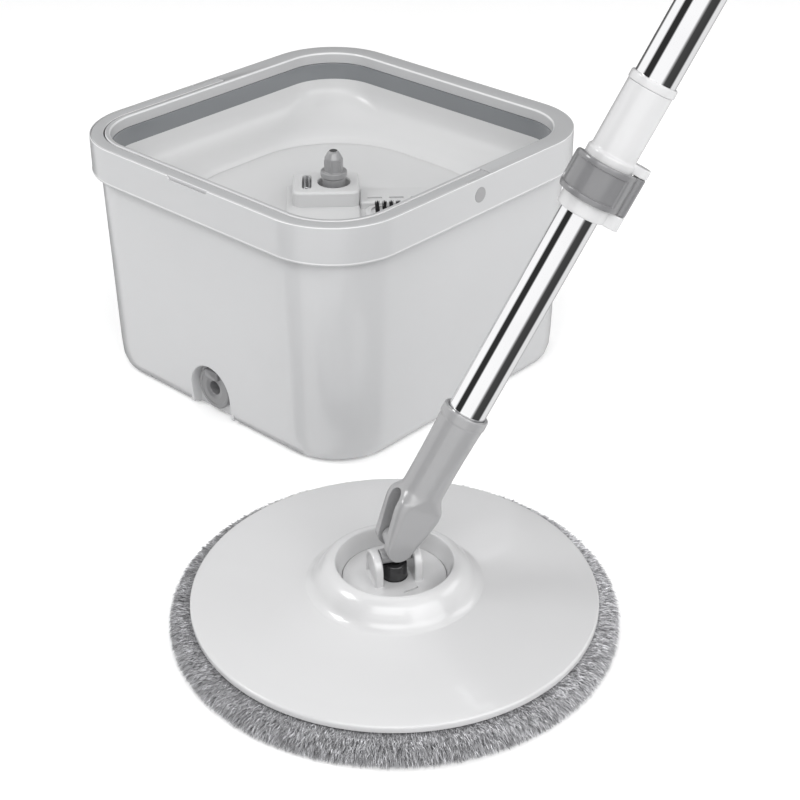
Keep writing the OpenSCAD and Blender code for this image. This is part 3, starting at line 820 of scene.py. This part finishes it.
# --------------------------------------------------------------------------------------
# Pole
# --------------------------------------------------------------------------------------
def fork_socket():
    """Socket whose section grows from two prongs to a rounded square, then turns round."""
    tangent = math.radians(-14.4)
    rows = []
    for k in range(7):
        a = -math.pi / 2 + (tangent + math.pi / 2) * k / 6
        rows.append((max(8.25 * math.cos(a), 0.6), 13.2, 1.2, 8.25 * math.sin(a)))
    rows += flowing([(9.6, 13.35, 2.5, 4), (12.2, 13.6, 4, 14), (14.1, 13.8, 5, 22), (14.4, 13.8, 5.4, 26),
                     (14.2, 13.7, 6.4, 29), (13.5, 13.3, 9.5, 32), (13, 13, 12.6, 35.5), (12.85, 12.85, 12.8, 40),
                     (12.8, 12.8, 12.75, 50), (12.85, 12.85, 12.8, 62), (13.2, 13.2, 13.1, 75),
                     (13.55, 13.55, 13.5, 84.6)], 3)
    rows += [(13.6, 13.6, 13.5, 85), (14, 14, 13.9, 85.6), (14, 14, 13.9, 90.9), (13.6, 13.6, 13.5, 91.5)]
    body = skin("fork_socket", [rectangle(-x, x, -y, y, min(r, x - 0.02), t, 12) for x, y, r, t in rows], pole)
    gap = skin("gap_tool", [[(x, y, t) for y, t in arch(6, -14, 26)] for x in (-20, 20)], pole)
    bore = rod("bore_tool", TUBE_R + 0.25, 48, 99, pole)
    cut(body, gap, bore)
    return moulded(body, 0.3, 5)


def tube(name, radius, wall, low, high):
    return lathe(name, [(radius, low, 0.2), (radius, high, 0.2), (radius - wall, high, 0.2),
                        (radius - wall, low, 0.2)], pole, True, 160)


def clamp_sleeve():
    body = lathe("clamp_sleeve", [
        (11.6, CLAMP_T, 0.3), (COLLAR_R, CLAMP_T, 1.2), (COLLAR_R, 260, 1.6), (13.35, 261.4, 0.8), (13.35, 301, 0.3),
        (12.2, 301, 0), (12.2, 262, 0), (11.6, 262, 0)], clamp, True)
    ears = []
    for low, high in ((CLAMP_T, LEVER_T[0] - 0.4), (LEVER_T[1] + 0.4, 262)):
        ears.append(rod("hinge_ear", 3.8, low, high, hinge, 0.5))
        ears.append(block("hinge_web", (12.4, HINGE_X), (-3.8, 3.8), (low, high), 0.4, 0.3, clamp))
    window = block("window_tool", (-20, -10), (-3, 3), (236, 252), 0.5, 0.1, clamp)
    fused(body, *ears)
    return moulded(cut(body, window), 0.35, 6)


def sleeve_ring():
    return lathe("sleeve_ring", [(12.2, 301, 0), (13.9, 301, 0.6), (13.9, 306, 1.1), (12.2, 306, 0.2)], clamp, True)


def clamp_lever():
    """Curved lever round the collar, with a recessed panel and a rounded free end."""
    low, high = LEVER_T
    middle, half = (low + high) / 2, (high - low) / 2
    inner, outer = 15.3, 18.6
    start, end = -7, -188
    end_r, border, sunk = 8.5, 3.6, 1.05
    steps = 90
    rings = []
    for k in range(steps + 1):
        share = k / steps
        a = math.radians(start + (end - start) * share)
        left = (1 - share) * math.radians(start - end) * 17
        reach = half
        if left < end_r:
            reach = half - end_r + math.sqrt(max(end_r ** 2 - (end_r - left) ** 2, 0.4))
        fade = min(1, max(0, (left - 4.5) / 1.2), max(0, (share * 53 - 9) / 1.2))
        dent = outer - sunk * fade * fade * (3 - 2 * fade)
        side = max(reach - border, 0.5)
        section = [(inner, -reach + 0.5), (inner, reach - 0.5), (inner + 0.5, reach), (outer - 0.9, reach),
                   (outer - 0.25, reach - 0.3), (outer, reach - 0.9), (outer, side + 0.9), (outer - 0.1, side + 0.5),
                   (dent, side), (dent, -side), (outer - 0.1, -side - 0.5), (outer, -side - 0.9),
                   (outer, -reach + 0.9), (outer - 0.25, -reach + 0.3), (outer - 0.9, -reach),
                   (inner + 0.5, -reach)]
        rings.append([(r * math.cos(a), r * math.sin(a), middle + z) for r, z in section])
    strap = skin("clamp_lever", rings, clamp)
    barrel = lathe("lever_barrel", [(1.6, low, 0.2), (3.7, low, 0.5), (3.7, high, 0.5), (1.6, high, 0.2)],
                   hinge, True, 64)
    return joined("clamp_lever", strap, barrel)


def hand_grip():
    low, high = GRIP_T
    rib_r = GRIP_R + 0.7
    outline = [(SLEEVE_TUBE_R, low, 0), (GRIP_R, low, 1.2)]
    for i in range(5):
        t = low + 10 + 20 * i
        outline += [(GRIP_R, t, 0.4), (rib_r, t, 0.4), (rib_r, t + 6, 0.4), (GRIP_R, t + 6, 0.4)]
    outline += [(GRIP_R, high, 0.8), (SLEEVE_TUBE_R, high, 0)]
    return lathe("hand_grip", outline, pole, True)


def end_cap():
    """Plug and dome at the pole's end, with a loop to hang the mop by."""
    low = GRIP_T[1]
    dome = lathe("end_cap", [(0.05, 880, 0), (11.6, 880, 0.5), (11.6, low, 0), (GRIP_R, low, 0.4),
                             (GRIP_R, low + 6, 2.2), (0.05, low + 6.2, 0)], pole)
    loop = skin("loop", [[(x, y, t) for x, t in arch(11 - g, 905, 925)]
                         for y, g in [(-4, 1.2), (-3.6, 0.4), (-2.8, 0), (2.8, 0), (3.6, 0.4), (4, 1.2)]], pole)
    hole = rod("hole_tool", 5.5, -9, 9, pole @ turned((0, 1, 0), (0, 0, 924)))
    return moulded(cut(fused(dome, loop), hole), 0.45, 6)


# --------------------------------------------------------------------------------------
# The object
# --------------------------------------------------------------------------------------
show(bucket_shell(), "white_shell", "bucket", "outer_bucket")
# the rim's finish has painted shade on its flat top and a painted highlight on its rounded edges
show(rim_collar(), "white_shell", "bucket", "rim_frame", finish=rim_white_painted_light)
show(around("inner_band", [(12.5, 162.6, 0.3), (12.5, 176.2, 0.3), (14.8, 176.2, 0.7), (14.7, 162.6, 0.5)]),
     "trim_grey", "bucket", "trim_ring")
# the tub and the parts on its floor take the lighter copy of the shell's white, painted light for the shade inside
# the bucket
for make, name in [(wash_tub, "wash_tub"), (post_housing, "post_housing"), (channel_cover, "channel_cover"),
                   (brush_frame, "brush_frame")]:
    show(make(), "white_shell", "bucket", name, finish=tub_white_painted_light)
show(bristles(), "bristle_nylon", "bucket", "brush_bristles")
show(joined("pivot_caps", pivot_cap(-1), pivot_cap(1)), "grey_plastic", "bucket", "handle_pins")
# the handle's finish has painted shade on its flat top and a painted highlight on its rounded edges
show(carrying_handle(), "white_shell", "bail_handle", "bail_handle", finish=rim_white_painted_light)
show(drain_plug(), "grey_plastic", "drain_plug", "drain_plug", finish=deep_grey)
show(spin_post(), "grey_plastic", "spin_post", "spin_post")
show(press_roller(), "steel", "press_roller", "press_roller")

show(mop_plate(), "white_head", "mop_plate", "mop_plate")
show(turntable(), "white_head", "yoke_base", "swivel_disc")
show(spin_hub(), "black_plastic", "mop_plate", "spin_hub")
show(knuckle(), "grey_plastic", "knuckle", "knuckle")
show(plain_pad(), "microfibre", "mop_plate", finish=pad_core)
pad = show(pile(), "microfibre", "mop_plate", "mop_pad")

show(fork_socket(), "grey_plastic", "lower_pole", "fork_socket")
show(tube("lower_tube", TUBE_R, 0.8, 48, 704), "chromed_tube", "lower_pole", "lower_tube")
show(tube("upper_tube", SLEEVE_TUBE_R, 0.6, 262, 902), "chromed_tube", "upper_pole", "upper_tube")
show(clamp_sleeve(), "white_head", "upper_pole", "clamp_sleeve")
show(sleeve_ring(), "white_head", "upper_pole", "sleeve_ring")
show(clamp_lever(), "grey_plastic", "clamp_lever", "clamp_lever", finish=deep_grey)
show(hand_grip(), "grip_rubber", "upper_pole", "hand_grip")
show(end_cap(), "grey_plastic", "upper_pole", "end_cap")

# --------------------------------------------------------------------------------------
# Studio
# --------------------------------------------------------------------------------------
VIEW_TURN = math.radians(42.57)
VIEW_TILT = math.radians(30.62)
CAMERA_AT = (0.8193, -0.8201, 0.6407)
LENS = 76.5

camera_data = bpy.data.cameras.new("camera")
camera_data.lens = LENS
camera_data.sensor_width = 36
camera_data.clip_end = 200
camera = bpy.data.objects.new("camera", camera_data)
camera.location = CAMERA_AT
camera.rotation_euler = (math.pi / 2 - VIEW_TILT, 0, VIEW_TURN)
bpy.context.scene.collection.objects.link(camera)
bpy.context.scene.camera = camera


def studio_floor():
    """Wide sheet of white paper that glows faintly, so that it stays white in every view."""
    size = 60000
    floor = build("floor", [(-size, -size, -0.4), (size, -size, -0.4), (size, size, -0.4), (-size, size, -0.4)],
                  [(0, 1, 2, 3)])
    finish = Finish("paper")
    finish.ramp(finish.noise(2, 2), [(0.3, (0.93, 0.93, 0.93)), (0.7, (0.95, 0.95, 0.95))], "Base Color")
    finish.fixed(Roughness=0.9, Specular_IOR_Level=0.1, Emission_Color=(1, 1, 1, 1), Emission_Strength=0.12)
    floor.data.materials.append(finish.material)
    floor.visible_glossy = False


def soft_box(name, at, target, size, power):
    data = bpy.data.lights.new(name, "AREA")
    data.shape = "RECTANGLE"
    data.size, data.size_y = size
    data.energy = power
    lamp = bpy.data.objects.new(name, data)
    lamp.location = at
    lamp.rotation_euler = (Vector(target) - Vector(at)).to_track_quat("-Z", "Y").to_euler()
    bpy.context.scene.collection.objects.link(lamp)


def studio_sky():
    """Bright room with a few dark flags that run parallel to the pole, which make the chrome's stripes."""
    world = bpy.data.worlds.new("studio")
    bpy.context.scene.world = world
    world.use_nodes = True
    nodes, links = world.node_tree.nodes, world.node_tree.links
    where = nodes.new("ShaderNodeTexCoord").outputs["Generated"]
    toward = Vector(CAMERA_AT) - fork_at
    front = (toward - along * toward.dot(along)).normalized()
    right = along.cross(front)
    parts = []
    for axis in (right, front):
        dot = nodes.new("ShaderNodeVectorMath")
        dot.operation = "DOT_PRODUCT"
        links.new(where, dot.inputs[0])
        dot.inputs[1].default_value = axis
        parts.append(dot.outputs["Value"])
    angle = nodes.new("ShaderNodeMath")
    angle.operation = "ARCTAN2"
    links.new(parts[0], angle.inputs[0])
    links.new(parts[1], angle.inputs[1])
    share = nodes.new("ShaderNodeMapRange")
    share.inputs["From Min"].default_value = -math.pi
    share.inputs["From Max"].default_value = math.pi
    links.new(angle.outputs[0], share.inputs["Value"])
    ramp = nodes.new("ShaderNodeValToRGB")
    links.new(share.outputs["Result"], ramp.inputs["Fac"])
    # brightness by place across the tube, from its left edge (-1) to its right edge (1)
    stripes = [(-1.0, 0.10), (-0.93, 0.12), (-0.88, 1.0), (-0.62, 1.0), (-0.55, 0.03), (-0.30, 0.03), (-0.24, 1.0),
               (0.30, 1.0), (0.38, 0.30), (0.44, 0.06), (0.74, 0.05), (0.80, 0.8), (0.93, 0.8), (1.0, 0.15)]
    elements = ramp.color_ramp.elements
    while len(elements) < len(stripes):
        elements.new(0.5)
    for element, (place, light) in zip(elements, stripes):
        element.position = 0.5 + math.asin(place) / math.pi
        element.color = (light, light, light, 1)
    sky = nodes["Background"]
    links.new(ramp.outputs["Color"], sky.inputs["Color"])
    sky.inputs["Strength"].default_value = 1.12


studio_floor()
studio_sky()
# each lamp's place, what it points at, its size in metres and its power in watts
soft_box("key", (1.6, -0.2, 0.9), (0.1, -0.1, 0.1), (1.2, 1.2), 11)
soft_box("left", (-0.64, -1.03, 1.33), (0.25, -0.2, 0.03), (0.5, 0.5), 8)
soft_box("front", (0.9, -1.2, 1.3), (0.1, -0.1, 0.1), (1.2, 0.8), 8)
soft_box("top", (0.2, 0.1, 2.2), (0.15, -0.1, 0), (1.6, 1.6), 4)
soft_box("edge", (0.95, 0.95, 1.05), (0.14, 0, 0.17), (0.9, 0.5), 3)

bpy.context.scene.view_settings.view_transform = "Standard"
bpy.context.scene.view_settings.exposure = 0.0
